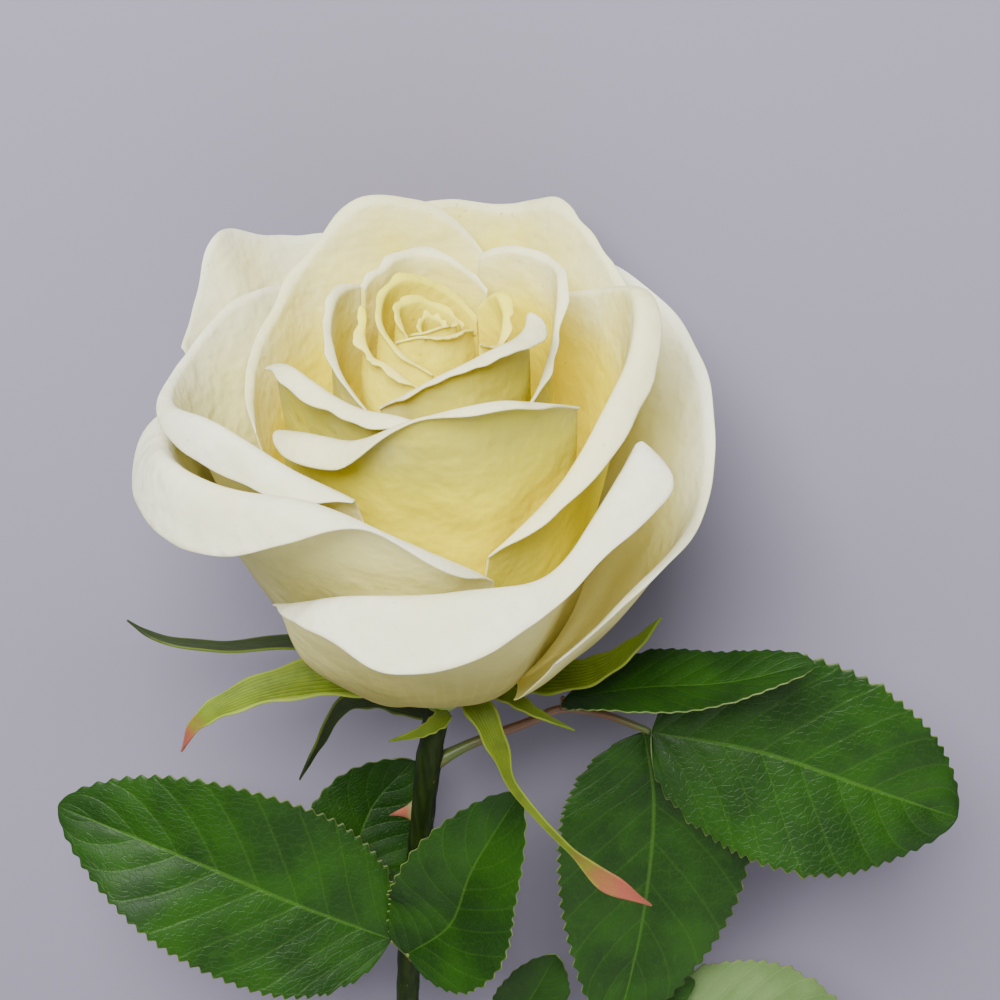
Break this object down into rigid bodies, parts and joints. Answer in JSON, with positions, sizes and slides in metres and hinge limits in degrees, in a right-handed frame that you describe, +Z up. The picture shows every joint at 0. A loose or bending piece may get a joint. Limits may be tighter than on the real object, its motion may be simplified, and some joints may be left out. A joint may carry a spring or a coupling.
{
  "type": "cut rose",
  "caption": "Cut garden rose lying on its back: open cream bloom of overlapping petals with rolled rims, reflexed sepals, slim stem with prickles, serrated leaves.",
  "frame": {"origin": "on the surface that the rose lies on, under the middle of its bounding box", "axes": "+Y along the stem towards the bloom, +Z up, away from the surface, on the side of the bloom's face, +X to the right of the bloom seen from above with the bloom at the top"},
  "size_m": [0.1722, 0.3366, 0.0944],
  "materials": {
    "petal": "soft velvety cream-white petal, pale yellow towards the heart and the base",
    "hip": "smooth yellow-green hip",
    "sepal": "fine-haired green sepal, paler inside, reddish brown at the tip",
    "stem": "smooth green stem, reddish prickles with pale feet",
    "stalk": "green leaf stalk flushed red-brown on its upper side",
    "leaf": "satin dark green leaf with pale veins, matte paler underside"
  },
  "bodies": {
    "root": {"petal_01": "petal", "petal_02": "petal", "petal_03": "petal", "petal_04": "petal", "petal_05": "petal", "petal_06": "petal", "petal_07": "petal", "petal_08": "petal", "petal_09": "petal", "petal_10": "petal", "petal_11": "petal", "petal_12": "petal", "petal_13": "petal", "petal_14": "petal", "petal_15": "petal", "petal_16": "petal", "petal_17": "petal", "petal_18": "petal", "petal_19": "petal", "petal_20": "petal", "petal_21": "petal", "petal_22": "petal", "hip": "hip", "sepal_left_front": "sepal", "sepal_left_back": "sepal", "sepal_right": "sepal", "sepal_front": "sepal", "sepal_right_front": "sepal", "bract_back": "leaf", "bract_front": "leaf", "stem": "stem", "leaf_right_stalk": "stalk", "leaf_left_stalk": "stalk", "leaf_low_stalk": "stalk", "leaf_right_end": "leaf", "leaf_right_front": "leaf", "leaf_right_back": "leaf", "leaf_left_end": "leaf", "leaf_left_front": "leaf", "leaf_left_back": "leaf", "leaf_low_end": "leaf", "leaf_low_up_1": "leaf", "leaf_low_up_2": "leaf", "leaf_low_down_1": "leaf", "leaf_low_down_2": "leaf"}
  },
  "joints": []
}
